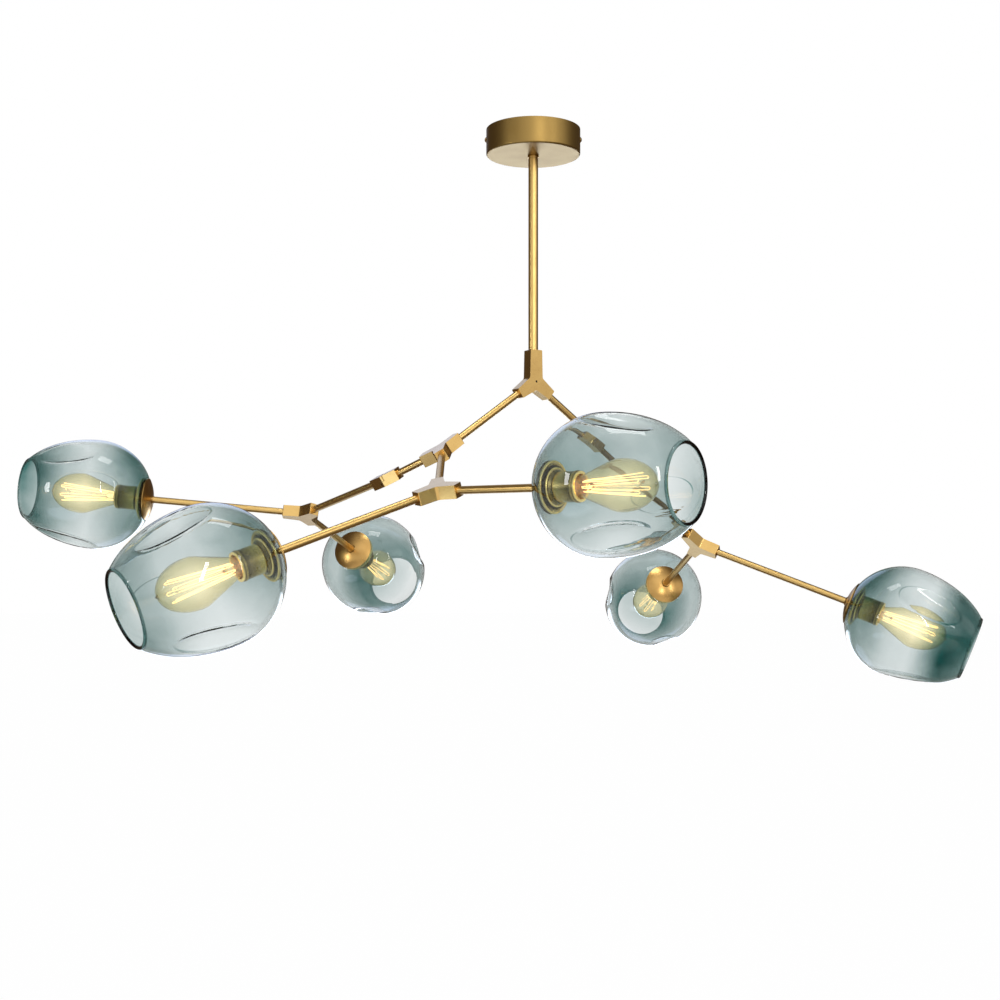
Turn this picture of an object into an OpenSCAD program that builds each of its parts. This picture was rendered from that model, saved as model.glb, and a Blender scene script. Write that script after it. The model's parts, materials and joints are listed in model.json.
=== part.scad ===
// Branch chandelier: a ceiling canopy, a stem, five forked hubs, two knuckles and six glass lamps.
// The origin is on the ceiling, in the middle of the canopy. +Z is up and +Y is away from the front.
// A branch is a chain of frames: each frame's own +Z runs along its tube, away from the stem.

/* [Canopy] */
// Diameter of the canopy
canopy_d = 125; // [100:1:180]
// Height of the canopy
canopy_h = 34; // [30:1:60]
// Sheet thickness of the canopy
canopy_wall = 1.2; // [0.8:0.1:2]
// Outer radius of the canopy's lower edge
canopy_edge_r = 2.5; // [2:0.5:5]

/* [Ceiling bracket] */
// Width of the bracket's bar
bar_w = 24; // [20:1:36]
// Thickness of the bracket's sheet
bar_t = 2; // [1.5:0.1:3]
// Length of the bracket's bent tabs
tab_l = 21; // [18:1:26]
// Distance between the middles of the two ceiling slots
slot_spacing = 70; // [60:1:74]
// Overall length of a ceiling slot
slot_l = 18; // [8:1:20]
// Width of a ceiling slot
slot_w = 5; // [4:0.5:6]
// Depth below the ceiling of the screws that hold the canopy
side_screw_z = 13; // [8:1:16]
// Thread diameter of the canopy and earth screws
side_screw_d = 4; // [3:0.5:5]
// Head diameter of the canopy screws
side_head_d = 7.5; // [6.5:0.5:10]
// Head height of the canopy screws
side_head_h = 2.2; // [1.5:0.1:3]
// Length of the terminal block
block_l = 24; // [18:1:34]
// Width of the terminal block
block_w = 16; // [12:1:20]
// Height of the terminal block
block_h = 12; // [8:1:13]

/* [Stem] */
// Height from the ceiling down to the middle of the top hub
drop = 335; // [200:1:900]
// Outer diameter of the stem
stem_d = 13; // [12.5:0.5:14]
// Outer diameter of the threaded nipple that carries the stem
nipple_d = 10; // [8:0.5:10.5]
// Bore of the threaded nipple
nipple_bore = 6; // [4:0.5:6.5]
// Length of nipple inside the stem
nipple_grip = 18; // [12:1:30]
// Diameter of the collar under the canopy
collar_d = 15; // [14:0.5:24]
// Height of the collar under the canopy
collar_h = 3; // [2:0.5:10]
// Width across the corners of the nipple nut
nut_d = 17; // [15:0.5:20]
// Height of the nipple nut
nut_h = 5; // [3:0.5:6]
// Diameter of the washer under the nut
washer_d = 24; // [20:1:30]
// Thickness of the washer
washer_t = 1.5; // [1:0.1:2]

/* [Tubes] */
// Outer diameter of the branch tubes
tube_d = 9.5; // [8:0.5:10]
// Wall of the branch tubes
tube_wall = 1; // [0.8:0.1:1.5]
// Radial play of a joint that turns
swivel_fit = 0.05; // [0.02:0.01:0.1]

/* [Hubs] */
// Angle between the way in, carried straight on, and each way out
fork_angle = 55; // [50:1:60]
// Thickness of a hub
hub_t = 16; // [15:0.5:20]
// Length of a hub's leg from its middle
leg_l = 30; // [26:1:40]
// Width of a leg at its end
leg_end_w = 14; // [13:0.5:18]
// Width that a leg tapers from, at the hub's middle
leg_root_w = 20; // [18:0.5:26]
// Depth of a tube in its leg
leg_seat = 16; // [10:1:17]
// Length of the top hub's upper leg
top_leg_l = 42; // [34:1:60]
// Width of the upper leg at its end
top_leg_end_w = 18; // [17:0.5:22]
// Depth of the stem in the top hub
top_seat = 22; // [16:1:24]
// Radius of the notches between the legs
notch_r = 5; // [1:0.5:8]
// Radius of the legs' corners
corner_r = 1; // [0.5:0.1:2]
// Bore for the wires through a hub
wire_bore = 6; // [4:0.5:6.5]
// Thread diameter of the grub screw in the top hub
grub_d = 3; // [2:0.5:4]
// Depth of the grub screw below the face
grub_sink = 1.5; // [0.5:0.1:2]

/* [Knuckles] */
// Width and thickness of a knuckle
knuckle_w = 15; // [14:0.5:20]
// Length of a knuckle, end to end
knuckle_l = 46; // [44:1:60]
// Depth of a tube in a knuckle
knuckle_seat = 10; // [8:1:12]
// Gap between the two lapped faces
lap_gap = 0.2; // [0.1:0.1:0.5]
// Gap round the tongue's nose
nose_gap = 0.5; // [0.3:0.1:1]
// Diameter of the pivot pin
pin_d = 5; // [4:0.5:6]
// Diameter of the pivot pin's head
pin_head_d = 9; // [8:0.5:10]
// Height of the pivot pin's head
pin_head_h = 2; // [1.5:0.1:2.5]
// Width across the corners of the socket in the pin's head
pin_key_d = 3.5; // [2.5:0.5:4]

/* [Lamp cap and holder] */
// Diameter of the domed cap behind the glass
cap_d = 59.5; // [58:0.5:60]
// Height of the cap's dome
cap_h = 9; // [6:0.5:14]
// Height of the cap's straight edge
cap_edge_h = 1.5; // [1:0.1:3]
// Sheet thickness of the cap
cap_wall = 1.2; // [0.8:0.1:2]
// Diameter of the boss inside the cap
cap_boss_d = 20; // [14:1:30]
// Diameter of the holder's rolled flange
flange_d = 59; // [54:0.5:60]
// Diameter of the flange's seat on the glass
flange_seat_d = 52; // [46:0.5:54]
// Depth of the flange's dish
flange_h = 5.5; // [4.5:0.1:7]
// Diameter of the step in front of the flange
step_d = 44; // [38:0.5:46]
// Height of the step
step_h = 4; // [2:0.5:6]
// Outer diameter of the lamp holder's barrel
barrel_d = 33.5; // [31:0.5:36]
// Length of the barrel in front of the socket's floor
barrel_l = 30; // [27:0.5:34]
// Thickness from the glass to the socket's floor
floor_t = 10; // [8:0.5:12]
// Depth of the arm tube in the holder
holder_seat = 5; // [3:0.5:7]

/* [Glass shade] */
// Greatest diameter of the shade
shade_d = 155; // [140:1:170]
// Length of the shade
shade_l = 170; // [155:1:190]
// Diameter of the shade's mouth
mouth_d = 83; // [70:1:100]
// Diameter of the flat neck end that the cap sits on
neck_d = 60; // [60:0.5:66]
// Diameter of the hole in the neck
neck_hole_d = 42; // [38:0.5:43]
// Thickness of the glass
glass_t = 2.5; // [2:0.1:3.5]
// Number of pressed dents
dent_count = 3; // [0:1:4]
// Radius across the long round form that presses a dent
dent_across_r = 32; // [24:1:45]
// Radius along the form that presses a dent
dent_along_r = 250; // [100:5:400]
// Depth of a dent
dent_depth = 10; // [4:0.5:14]
// Distance of a dent's middle from the neck end
dent_z = 104; // [90:1:115]

/* [Bulb] */
// Diameter of the bulb's screw base
base_d = 26.4; // [26:0.1:26.8]
// Length of the screw base
base_l = 26; // [22:0.5:27]
// Greatest diameter of the bulb's glass
bulb_d = 57; // [46:1:64]
// Distance from the base's end to the widest part of the bulb
bulb_l = 80; // [72:1:90]
// Distance from the widest part of the bulb to its tip
bulb_dome = 41; // [28:1:50]
// Diameter of the bulb's glass neck
bulb_neck_d = 24; // [22:0.5:24.5]
// Thickness of the bulb's glass
bulb_t = 0.8; // [0.5:0.1:1.2]

/* [Tube lengths, from middle to middle] */
// Top hub to left hub
upper_left_l = 170; // [130:1:260]
// Left hub to left knuckle
mid_left_l = 94; // [80:1:160]
// Left knuckle to far left hub
outer_left_l = 217; // [120:1:300]
// Left hub to front hub
front_drop_l = 204; // [150:1:300]
// Top hub to right knuckle
upper_right_l = 111; // [90:1:200]
// Right knuckle to right hub
outer_right_l = 265; // [180:1:350]
// Far left hub to the far left lamp
arm_far_left_l = 226; // [160:1:300]
// Far left hub to the back left lamp
arm_back_left_l = 172; // [140:1:260]
// Front hub to the front left lamp
arm_front_left_l = 218; // [180:1:300]
// Front hub to the front middle lamp
arm_front_mid_l = 153; // [150:1:260]
// Right hub to the far right lamp
arm_far_right_l = 235; // [170:1:300]
// Right hub to the back right lamp
arm_back_right_l = 201; // [160:1:260]

/* [How the branches are turned] */
// Turn of the top hub about the stem
top_turn = 32; // [20:1:45]
// Turn of the left hub about its tube
left_turn = 273; // [263:1:283]
// Turn of the left knuckle about its tube
left_knuckle_turn = 96; // [86:1:106]
// Bend of the left knuckle
left_bend = 25; // [0:1:30]
// Turn of the far left hub about its tube
far_left_turn = 133; // [123:1:143]
// Turn of the front hub about its tube
front_turn = 341; // [331:1:351]
// Turn of the right knuckle about its tube
right_knuckle_turn = 0; // [-10:1:10]
// Bend of the right knuckle
right_bend = 6; // [0:1:30]
// Turn of the right hub about its tube
right_turn = 88; // [78:1:98]
// Turn of the dents in the far left shade
far_left_dents = 32; // [-180:1:180]
// Turn of the dents in the back left shade
back_left_dents = 154; // [-180:1:180]
// Turn of the dents in the front left shade
front_left_dents = -104; // [-180:1:180]
// Turn of the dents in the front middle shade
front_mid_dents = -88; // [-180:1:180]
// Turn of the dents in the far right shade
far_right_dents = -6; // [-180:1:180]
// Turn of the dents in the back right shade
back_right_dents = 163; // [-180:1:180]

/* [Hidden] */

$fn = 48;
brass = [0.69, 0.55, 0.28];
dark_brass = [0.45, 0.35, 0.18];
steel = [0.72, 0.72, 0.7];
plastic = [0.9, 0.9, 0.86];
smoke_glass = [0.45, 0.6, 0.65, 0.45];
bulb_glass = [0.98, 0.85, 0.5, 0.6];
over = 1;                              // how far a cutting shape runs past a face
arc_steps = 5;                         // segments in a small rounded corner
curve_steps = 16;                      // segments in each half of a blown glass outline

canopy_inner_r = canopy_d / 2 - canopy_wall;
tab_gap = 0.3;                         // least gap between a tab's corner and the canopy
tab_x = sqrt(pow(canopy_inner_r, 2) - pow(bar_w / 2, 2)) - tab_gap;
screw_play = 0.2;                      // radial play of a screw in a clearance hole
screw_past = 2;                        // length of a canopy screw past its tab
head_slot = 1;                         // width of the screwdriver slot
block_way_d = 4;                       // wire holes through the terminal block
block_screw_d = 3.2;                   // screw holes in the terminal block
nut_z = -canopy_h + canopy_wall + washer_t;
nipple_above = 2;                      // length of nipple that shows past its nut
stem_top = -canopy_h - collar_h;
stem_bore = nipple_d + 2 * swivel_fit;
stem_end = -drop + top_leg_l - top_seat;
core_r = 0.7 * wire_bore;              // round chamber where a hub's bores meet
leg_floor = leg_l - leg_seat;          // from a hub's middle to the end of a seated tube
knuckle_floor = knuckle_l / 2 - knuckle_seat;
nose_r = knuckle_w / 2;
base_play = 0.15;                      // radial play of the screw base in its socket
socket_z = glass_t + floor_t;          // floor of the socket, from the neck's end
boss_play = 0.5;                       // radial play of the holder's boss in the neck hole
boss_back = 1;                         // how far the holder's boss passes the glass
shade_r = shade_d / 2;
shade_mid = sqrt(pow(shade_r, 2) - pow(neck_d / 2, 2));
front_a = (shade_l - shade_mid) / sqrt(1 - pow(mouth_d / shade_d, 2));
thread_turns = 5;                      // ridges on the bulb's screw base
thread_depth = 0.9;                    // depth of the groove between two ridges
base_tip_r = 4.5;                      // radius of the contact at the base's end
earth_x = (slot_spacing + slot_l) / 2 + side_screw_d + 2;
rim_from = -70;                         // the rolled rim's arc starts at this angle
rim_turn = 200;
earth_head = 1.8;                      // earth screw's head diameter as a multiple of its thread

// A round corner for every point of an outline; radii holds one radius for each point.
function unit(v) = v / norm(v);
function corner(a, p, b, r) =
    let (u = unit(a - p), v = unit(b - p), half = acos(u * v) / 2,
         middle = p + unit(u + v) * r / sin(half), start = p + u * r / tan(half),
         side = sign(cross(p - a, b - p)), first = start - middle, sweep = 180 - 2 * half)
    [for (i = [0:arc_steps]) let (t = side * sweep * i / arc_steps)
        middle + [first.x * cos(t) - first.y * sin(t), first.x * sin(t) + first.y * cos(t)]];
function rounded(points, radii) =
    let (n = len(points))
    [for (i = [0:n - 1])
        each corner(points[(i + n - 1) % n], points[i], points[(i + 1) % n], radii[i])];
function meet(p, u, q, v) = p + u * cross(q - p, v) / cross(u, v);

// Outline of a hub: three tapered legs, given as [direction, length, width at the end].
function leg_way(leg) = [cos(leg[0]), sin(leg[0])];
function leg_side(leg, s) = s * [-sin(leg[0]), cos(leg[0])];
function leg_end(leg, s) = leg_way(leg) * leg[1] + leg_side(leg, s) * leg[2] / 2;
function leg_edge(leg, s) = leg_end(leg, s) - leg_side(leg, s) * leg_root_w / 2;
function notch(a, b) = meet(leg_end(a, 1), leg_edge(a, 1), leg_end(b, -1), leg_edge(b, -1));
function hub_outline(legs) =
    let (n = len(legs),
         points = [for (i = [0:n - 1]) each
            [leg_end(legs[i], -1), leg_end(legs[i], 1), notch(legs[i], legs[(i + 1) % n])]],
         radii = [for (i = [0:n - 1]) each [corner_r, corner_r, notch_r]])
    rounded(points, radii);

// Outlines of the blown shapes, as [radius, distance along the axis].
function arc_points(r, middle, from, to, steps) =
    [for (i = [0:steps]) let (t = from + (to - from) * i / steps) [r * cos(t), middle + r * sin(t)]];
function front_radius(z, b, a) = b * sqrt(1 - pow((z - shade_mid) / a, 2));
function shade_outline(inset, ahead) =
    let (b = shade_r - inset, a = front_a - inset, back = inset - shade_mid,
         reach = acos((shade_l + ahead - shade_mid) / a))
    concat([[0, inset]],
        arc_points(b, shade_mid, asin(back / b), 0, curve_steps),
        [for (i = [1:curve_steps]) let (t = 90 + (reach - 90) * i / curve_steps)
            [b * sin(t), shade_mid + a * cos(t)]],
        [[0, shade_l + ahead]]);
function bulb_side(inset) =
    let (r = bulb_d / 2 - inset, neck = bulb_neck_d / 2 - inset, middle = socket_z + bulb_l,
         start = socket_z + barrel_l + 1.5, gap = middle - start, far = norm([neck, gap]),
         slope = asin(r / far) - atan(neck / gap), dome = bulb_dome - inset)
    concat([[neck, socket_z + base_l - 4], [neck, start]],
        arc_points(r, middle, -slope, 0, curve_steps / 2),
        [for (i = [1:curve_steps]) let (t = 86 * i / curve_steps)
            [r * cos(t), middle + dome * sin(t)]]);
function bend_points(middle, r, from, to) =
    [for (i = [0:arc_steps]) let (t = from + (to - from) * i / arc_steps)
        middle + r * [cos(t), sin(t)]];
function reverse(list) = [for (i = [len(list) - 1:-1:0]) list[i]];

// Frames, from the ceiling outwards.
module at_top() {
    translate([0, 0, -drop])
        rotate([180, 0, top_turn])
            children();
}
module way_one() {
    rotate([0, -fork_angle, 0])
        children();
}
module way_two() {
    rotate([0, fork_angle, 0])
        children();
}
module along(distance, turn = 0) {
    translate([0, 0, distance])
        rotate([0, 0, turn])
            children();
}
module at_left() {
    at_top() way_one() along(upper_left_l, left_turn)
        children();
}
module at_left_knuckle() {
    at_left() way_two() along(mid_left_l, left_knuckle_turn)
        children();
}
module past_left_knuckle() {
    at_left_knuckle() rotate([left_bend, 0, 0])
        children();
}
module at_far_left() {
    past_left_knuckle() along(outer_left_l, far_left_turn)
        children();
}
module at_front() {
    at_left() way_one() along(front_drop_l, front_turn)
        children();
}
module at_right_knuckle() {
    at_top() way_two() along(upper_right_l, right_knuckle_turn)
        children();
}
module past_right_knuckle() {
    at_right_knuckle() rotate([right_bend, 0, 0])
        children();
}
module at_right() {
    past_right_knuckle() along(outer_right_l, right_turn)
        children();
}
module lamp_far_left() {
    at_far_left() way_two() along(arm_far_left_l)
        children();
}
module lamp_back_left() {
    at_far_left() way_one() along(arm_back_left_l)
        children();
}
module lamp_front_left() {
    at_front() way_two() along(arm_front_left_l)
        children();
}
module lamp_front_mid() {
    at_front() way_one() along(arm_front_mid_l)
        children();
}
module lamp_far_right() {
    at_right() way_two() along(arm_far_right_l)
        children();
}
module lamp_back_right() {
    at_right() way_one() along(arm_back_right_l)
        children();
}

// Shapes that repeat.
module ring(outer_d, inner_d, h) {
    difference() {
        cylinder(d = outer_d, h = h);
        translate([0, 0, -over])
            cylinder(d = inner_d, h = h + 2 * over);
    }
}
module tube(from, to) {
    color(brass)
        translate([0, 0, from])
            ring(tube_d, tube_d - 2 * tube_wall, to - from);
}
module leg_bore(length, bore_d, depth) {
    cylinder(d = wire_bore, h = length);
    translate([0, 0, length - depth])
        cylinder(d = bore_d, h = depth + over);
}
module hub(in_l, in_w, in_bore, in_depth) {
    difference() {
        rotate([90, 0, 0])
            linear_extrude(hub_t, center = true)
                polygon(hub_outline([[90 - fork_angle, leg_l, leg_end_w],
                    [90 + fork_angle, leg_l, leg_end_w], [270, in_l, in_w]]));
        sphere(r = core_r);
        way_one() leg_bore(leg_l, tube_d, leg_seat);
        way_two() leg_bore(leg_l, tube_d, leg_seat);
        rotate([180, 0, 0]) leg_bore(in_l, in_bore, in_depth);
    }
}
module swivel_hub() {
    color(brass)
        hub(leg_l, leg_end_w, tube_d + 2 * swivel_fit, leg_seat);
}
// Half of a knuckle: the tongue is on the side of +X, and the tube comes from -Z.
module knuckle_half(pin_bore) {
    difference() {
        union() {
            translate([lap_gap / 2, -nose_r, -knuckle_l / 2])
                cube([nose_r - lap_gap / 2, knuckle_w, knuckle_l / 2]);
            translate([lap_gap / 2, 0, 0])
                rotate([0, 90, 0])
                    cylinder(r = nose_r, h = nose_r - lap_gap / 2);
            difference() {
                translate([-nose_r, -nose_r, -knuckle_l / 2])
                    cube([nose_r + lap_gap / 2, knuckle_w, knuckle_l / 2]);
                translate([-nose_r - over, 0, 0])
                    rotate([0, 90, 0])
                        cylinder(r = nose_r + nose_gap, h = nose_r + over + lap_gap / 2);
            }
        }
        rotate([0, 90, 0])
            cylinder(d = pin_bore, h = knuckle_w + over);
        translate([nose_r - pin_head_h, 0, 0])
            rotate([0, 90, 0])
                cylinder(d = pin_head_d + 2 * swivel_fit, h = pin_head_h + over);
        translate([0, 0, -knuckle_l / 2 - over])
            cylinder(d = tube_d, h = knuckle_seat + over);
    }
}
module knuckle_inner() {
    color(brass)
        knuckle_half(pin_d);
}
module knuckle_outer() {
    color(brass)
        rotate([0, 180, 0])
            knuckle_half(pin_d + 2 * swivel_fit);
}
module knuckle_pin() {
    color(steel)
        rotate([0, 90, 0])
            difference() {
                union() {
                    cylinder(d = pin_d, h = knuckle_w, center = true);
                    translate([0, 0, nose_r - pin_head_h])
                        cylinder(d = pin_head_d, h = pin_head_h);
                    translate([0, 0, -nose_r])
                        cylinder(d = pin_head_d, h = pin_head_h);
                }
                for (end = [0, 1])
                    mirror([0, 0, end])
                        translate([0, 0, nose_r - pin_head_h / 2])
                            cylinder(d = pin_key_d, h = pin_head_h, $fn = 6);
            }
}
// The lamp's frame: the neck's flat end is at z = 0, and the mouth opens along +Z.
module cap() {
    dome = cap_h - cap_edge_h;
    r = (pow(cap_d / 2, 2) + pow(dome, 2)) / (2 * dome);
    middle = r - cap_h;
    inner_r = r - cap_wall;
    inner = cap_d / 2 - cap_wall;
    color(brass)
        difference() {
            union() {
                rotate_extrude()
                    polygon(concat(
                        arc_points(inner_r, middle, -90, -acos(inner / inner_r), curve_steps / 2),
                        [[inner, 0], [cap_d / 2, 0]],
                        arc_points(r, middle, -acos(cap_d / 2 / r), -90, curve_steps / 2)));
                translate([0, 0, cap_wall / 2 - cap_h])
                    cylinder(d = cap_boss_d, h = cap_h - cap_wall / 2 - boss_back);
            }
            translate([0, 0, -cap_h - over])
                cylinder(d = tube_d, h = cap_h + 2 * over);
        }
}
module holder() {
    rim_r = flange_h / 2 - 1;
    rim_z = glass_t + flange_h - rim_r;
    step_z = glass_t + flange_h - 1;
    color(dark_brass)
        difference() {
            rotate_extrude()
                polygon(concat(
                    [[0, -boss_back], [neck_hole_d / 2 - boss_play, -boss_back],
                     [neck_hole_d / 2 - boss_play, glass_t], [flange_seat_d / 2, glass_t]],
                    [for (i = [0:arc_steps * 2]) let (t = rim_from + rim_turn * i / (arc_steps * 2))
                        [flange_d / 2 - rim_r + rim_r * cos(t), rim_z + rim_r * sin(t)]],
                    [[step_d / 2 + 1, step_z], [step_d / 2, step_z + 1],
                     [step_d / 2, step_z + step_h - 1], [step_d / 2 - 1, step_z + step_h],
                     [barrel_d / 2, socket_z + 1], [barrel_d / 2, socket_z + barrel_l],
                     [0, socket_z + barrel_l]]));
            translate([0, 0, socket_z])
                cylinder(d = base_d + 2 * base_play, h = barrel_l + over);
            translate([0, 0, -boss_back - over])
                cylinder(d = tube_d, h = holder_seat + over + boss_back);
            cylinder(d = wire_bore, h = socket_z + over);
        }
}
module dents(grow) {
    r = front_radius(dent_z, shade_r, front_a);
    out = unit([r / pow(shade_r, 2), (dent_z - shade_mid) / pow(front_a, 2)]);
    middle = [r, dent_z] + out * (dent_along_r - dent_depth);
    for (i = [1:1:dent_count])
        rotate([0, 0, i * 360 / dent_count])
            translate([middle.x, 0, middle.y])
                rotate([90, 0, 0])
                    rotate_extrude($fn = 180)
                        translate([dent_along_r - dent_across_r, 0])
                            circle(r = dent_across_r + grow);
}
module shade(turn) {
    color(smoke_glass)
        rotate([0, 0, turn])
            difference() {
                rotate_extrude()
                    polygon(shade_outline(0, 0));
                dents(0);
                difference() {
                    rotate_extrude()
                        polygon(shade_outline(glass_t, over));
                    dents(glass_t);
                }
                translate([0, 0, -over])
                    cylinder(d = neck_hole_d, h = glass_t + 2 * over);
            }
}
module bulb() {
    tip = socket_z + bulb_l + bulb_dome;
    color(bulb_glass)
        rotate_extrude()
            polygon(concat(bulb_side(0), [[1.5, tip + 1.2], [0, tip + 1.8], [0, tip - bulb_t]],
                reverse(bulb_side(bulb_t))));
}
module bulb_base() {
    thread_z = socket_z + 6;
    pitch = (base_l - 8) / (2 * thread_turns);
    color(steel)
        rotate_extrude()
            polygon(concat(
                [[0, socket_z], [base_tip_r, socket_z], [base_tip_r, socket_z + 1],
                 [base_d / 2 - 1.2, socket_z + 4]],
                [for (i = [0:2 * thread_turns])
                    [base_d / 2 - (i % 2) * thread_depth, thread_z + i * pitch]],
                [[base_d / 2 - 0.3, socket_z + base_l], [bulb_neck_d / 2, socket_z + base_l],
                 [bulb_neck_d / 2, thread_z], [0, thread_z]]));
}

// The ceiling end.
module canopy() {
    inner_edge = canopy_edge_r - canopy_wall;
    middle = [canopy_d / 2 - canopy_edge_r, canopy_edge_r - canopy_h];
    color(brass)
        difference() {
            rotate_extrude()
                polygon(concat(
                    [[0, canopy_wall - canopy_h], [0, -canopy_h]],
                    bend_points(middle, canopy_edge_r, -90, 0),
                    [[canopy_d / 2, 0], [canopy_inner_r, 0]],
                    bend_points(middle, inner_edge, 0, -90)));
            translate([0, 0, -canopy_h - over])
                cylinder(d = nipple_d, h = canopy_wall + 2 * over);
            translate([0, 0, -side_screw_z])
                rotate([0, 90, 0])
                    cylinder(d = side_screw_d + 2 * screw_play, h = canopy_d + 2 * over, center = true);
        }
}
module slot(length, width, h) {
    for (s = [-1, 1])
        translate([s * (length - width) / 2, 0, 0])
            cylinder(d = width, h = h);
    translate([-(length - width) / 2, -width / 2, 0])
        cube([length - width, width, h]);
}
module crossbar() {
    color(steel)
        difference() {
            union() {
                translate([-tab_x, -bar_w / 2, -bar_t])
                    cube([2 * tab_x, bar_w, bar_t]);
                for (s = [0, 1])
                    mirror([s, 0, 0])
                        translate([tab_x - bar_t, -bar_w / 2, -tab_l])
                            cube([bar_t, bar_w, tab_l]);
            }
            for (s = [-1, 1])
                translate([s * slot_spacing / 2, 0, -bar_t - over])
                    slot(slot_l, slot_w, bar_t + 2 * over);
            translate([0, 0, -side_screw_z])
                rotate([0, 90, 0])
                    cylinder(d = side_screw_d, h = canopy_d, center = true);
            translate([earth_x, 0, -bar_t - over])
                cylinder(d = side_screw_d, h = bar_t + 2 * over);
        }
}
module canopy_screws() {
    head_r = (pow(side_head_d / 2, 2) + pow(side_head_h, 2)) / (2 * side_head_h);
    shank = canopy_d / 2 - tab_x + bar_t + screw_past;
    color(brass)
        for (s = [0, 1])
            mirror([s, 0, 0])
                translate([canopy_d / 2, 0, -side_screw_z])
                    rotate([0, 90, 0]) {
                        translate([0, 0, -shank])
                            cylinder(d = side_screw_d, h = shank);
                        difference() {
                            rotate_extrude()
                                polygon(concat([[0, 0]],
                                    arc_points(head_r, side_head_h - head_r,
                                        asin(1 - side_head_h / head_r), 90, arc_steps)));
                            translate([-side_head_d, -head_slot / 2, side_head_h / 2])
                                cube([2 * side_head_d, head_slot, side_head_h]);
                        }
                    }
}
module terminal_block() {
    pitch = block_l / 3;
    color(plastic)
        difference() {
            translate([-block_l / 2, -block_w / 2, -bar_t - block_h])
                cube([block_l, block_w, block_h]);
            for (i = [-1:1]) {
                translate([i * pitch, 0, -bar_t - block_h / 2])
                    rotate([90, 0, 0])
                        cylinder(d = block_way_d, h = block_w + 2 * over, center = true);
                for (s = [-1, 1])
                    translate([i * pitch, s * block_w / 4, -bar_t - block_h - over])
                        cylinder(d = block_screw_d, h = block_h / 2 + over);
            }
        }
}
module earth_screw() {
    color(steel)
        translate([earth_x, 0, -bar_t]) {
            cylinder(d = side_screw_d, h = bar_t);
            translate([0, 0, -side_head_h])
                cylinder(d = side_screw_d * earth_head, h = side_head_h);
        }
}
module stem_nipple() {
    top = nut_z + nut_h + nipple_above;
    bottom = stem_top - nipple_grip;
    color(steel)
        translate([0, 0, bottom])
            ring(nipple_d, nipple_bore, top - bottom);
}
module nipple_nuts() {
    color(steel)
        translate([0, 0, nut_z])
            difference() {
                cylinder(d = nut_d, h = nut_h, $fn = 6);
                translate([0, 0, -over])
                    cylinder(d = nipple_d, h = nut_h + 2 * over);
            }
    color(steel)
        translate([0, 0, nut_z - washer_t])
            ring(washer_d, nipple_d, washer_t);
}
module stem_collar() {
    color(brass)
        translate([0, 0, stem_top])
            ring(collar_d, nipple_d, collar_h);
}

// The stem and the top hub.
module stem_tube() {
    color(brass)
        translate([0, 0, stem_end])
            ring(stem_d, stem_bore, stem_top - stem_end);
}
module hub_top() {
    color(brass)
        at_top()
            difference() {
                hub(top_leg_l, top_leg_end_w, stem_d, top_seat);
                rotate([-90, 0, 0])
                    cylinder(d = grub_d, h = hub_t);
            }
}
module hub_top_screw() {
    color(steel)
        at_top()
            rotate([-90, 0, 0])
                translate([0, 0, core_r])
                    cylinder(d = grub_d, h = hub_t / 2 - core_r - grub_sink);
}
module tube_upper_left() {
    at_top() way_one() tube(leg_floor, upper_left_l - leg_floor);
}
module tube_upper_right() {
    at_top() way_two() tube(leg_floor, upper_right_l - knuckle_floor);
}
module knuckle_right_inner() {
    at_right_knuckle() knuckle_inner();
}
module knuckle_right_pin() {
    at_right_knuckle() knuckle_pin();
}

// The left branch.
module hub_left() {
    at_left() swivel_hub();
}
module tube_mid_left() {
    at_left() way_two() tube(leg_floor, mid_left_l - knuckle_floor);
}
module tube_front_drop() {
    at_left() way_one() tube(leg_floor, front_drop_l - leg_floor);
}
module knuckle_left_inner() {
    at_left_knuckle() knuckle_inner();
}
module knuckle_left_pin() {
    at_left_knuckle() knuckle_pin();
}
module knuckle_left_outer() {
    past_left_knuckle() knuckle_outer();
}
module tube_outer_left() {
    past_left_knuckle() tube(knuckle_floor, outer_left_l - leg_floor);
}

// The right branch.
module knuckle_right_outer() {
    past_right_knuckle() knuckle_outer();
}
module tube_outer_right() {
    past_right_knuckle() tube(knuckle_floor, outer_right_l - leg_floor);
}

// The three hubs that carry lamps, and their arms.
module hub_far_left() {
    at_far_left() swivel_hub();
}
module hub_front() {
    at_front() swivel_hub();
}
module hub_right() {
    at_right() swivel_hub();
}
module arm_far_left() {
    at_far_left() way_two() tube(leg_floor, arm_far_left_l + holder_seat);
}
module arm_back_left() {
    at_far_left() way_one() tube(leg_floor, arm_back_left_l + holder_seat);
}
module arm_front_left() {
    at_front() way_two() tube(leg_floor, arm_front_left_l + holder_seat);
}
module arm_front_mid() {
    at_front() way_one() tube(leg_floor, arm_front_mid_l + holder_seat);
}
module arm_far_right() {
    at_right() way_two() tube(leg_floor, arm_far_right_l + holder_seat);
}
module arm_back_right() {
    at_right() way_one() tube(leg_floor, arm_back_right_l + holder_seat);
}

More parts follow.
